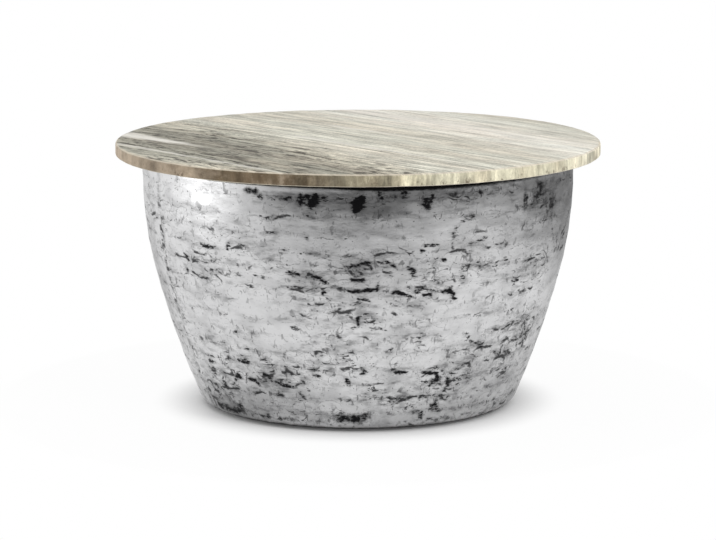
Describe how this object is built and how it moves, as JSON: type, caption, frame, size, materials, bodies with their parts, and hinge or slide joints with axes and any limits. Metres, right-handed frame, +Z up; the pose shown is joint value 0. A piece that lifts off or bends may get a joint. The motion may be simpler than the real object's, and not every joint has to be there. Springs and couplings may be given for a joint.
{
  "type": "round cocktail table",
  "caption": "Round cocktail table: a loose stone slab top on a hollow hammered-metal base that tapers to a rounded foot on screw levellers.",
  "frame": {"origin": "on the floor, on the table's axis, level with the undersides of the leveller pads", "axes": "+Z up along the table's axis; -Y is the side that the picture shows"},
  "size_m": [0.762, 0.762, 0.416],
  "materials": {
    "stone": "polished, linear grain",
    "adhesive": "cured sealant",
    "plywood": "sanded",
    "hammered_aluminium": "hammered and antiqued",
    "mill_aluminium": "mill",
    "silicone": "clear",
    "zinc_steel": "zinc plated",
    "nylon": "moulded"
  },
  "bodies": {
    "base": {"base_shell": "hammered_aluminium", "support_hoop": "mill_aluminium", "cross_bar_long": "mill_aluminium", "cross_bar_front": "mill_aluminium", "cross_bar_back": "mill_aluminium", "rim_bumpers": "silicone", "cross_bumpers": "silicone", "base_plate": "mill_aluminium", "plate_rivets": "mill_aluminium", "leveller_nuts": "zinc_steel"},
    "top": {"marble_top": "stone", "adhesive_dabs": "adhesive", "locating_disc": "plywood"},
    "leveller_1_foot": {"leveller_1_pad": "nylon"},
    "leveller_1_screw": {"leveller_1_stud": "zinc_steel"},
    "leveller_2_foot": {"leveller_2_pad": "nylon"},
    "leveller_2_screw": {"leveller_2_stud": "zinc_steel"},
    "leveller_3_foot": {"leveller_3_pad": "nylon"},
    "leveller_3_screw": {"leveller_3_stud": "zinc_steel"},
    "leveller_4_foot": {"leveller_4_pad": "nylon"},
    "leveller_4_screw": {"leveller_4_stud": "zinc_steel"}
  },
  "joints": [
    {"name": "top_lift", "type": "slide", "parent": "base", "child": "top", "axis": [0, 0, 1], "range_m": [0, 0.15]},
    {"name": "leveller_1_drop", "type": "slide", "parent": "base", "child": "leveller_1_foot", "axis": [0, 0, -1], "range_m": [0, 0.0101]},
    {"name": "leveller_1_turn", "type": "hinge", "parent": "leveller_1_foot", "child": "leveller_1_screw", "pos_m": [0.13079, 0.13079, 0], "axis": [0, 0, -1], "range_deg": [0, 2880]},
    {"name": "leveller_2_drop", "type": "slide", "parent": "base", "child": "leveller_2_foot", "axis": [0, 0, -1], "range_m": [0, 0.0101]},
    {"name": "leveller_2_turn", "type": "hinge", "parent": "leveller_2_foot", "child": "leveller_2_screw", "pos_m": [-0.13079, 0.13079, 0], "axis": [0, 0, -1], "range_deg": [0, 2880]},
    {"name": "leveller_3_drop", "type": "slide", "parent": "base", "child": "leveller_3_foot", "axis": [0, 0, -1], "range_m": [0, 0.0101]},
    {"name": "leveller_3_turn", "type": "hinge", "parent": "leveller_3_foot", "child": "leveller_3_screw", "pos_m": [-0.13079, -0.13079, 0], "axis": [0, 0, -1], "range_deg": [0, 2880]},
    {"name": "leveller_4_drop", "type": "slide", "parent": "base", "child": "leveller_4_foot", "axis": [0, 0, -1], "range_m": [0, 0.0101]},
    {"name": "leveller_4_turn", "type": "hinge", "parent": "leveller_4_foot", "child": "leveller_4_screw", "pos_m": [0.13079, -0.13079, 0], "axis": [0, 0, -1], "range_deg": [0, 2880]}
  ],
  "couplings": [
    {"joint": "leveller_1_drop", "follows": "leveller_1_turn", "m_per_rad": 0.00019894},
    {"joint": "leveller_2_drop", "follows": "leveller_2_turn", "m_per_rad": 0.00019894},
    {"joint": "leveller_3_drop", "follows": "leveller_3_turn", "m_per_rad": 0.00019894},
    {"joint": "leveller_4_drop", "follows": "leveller_4_turn", "m_per_rad": 0.00019894}
  ]
}
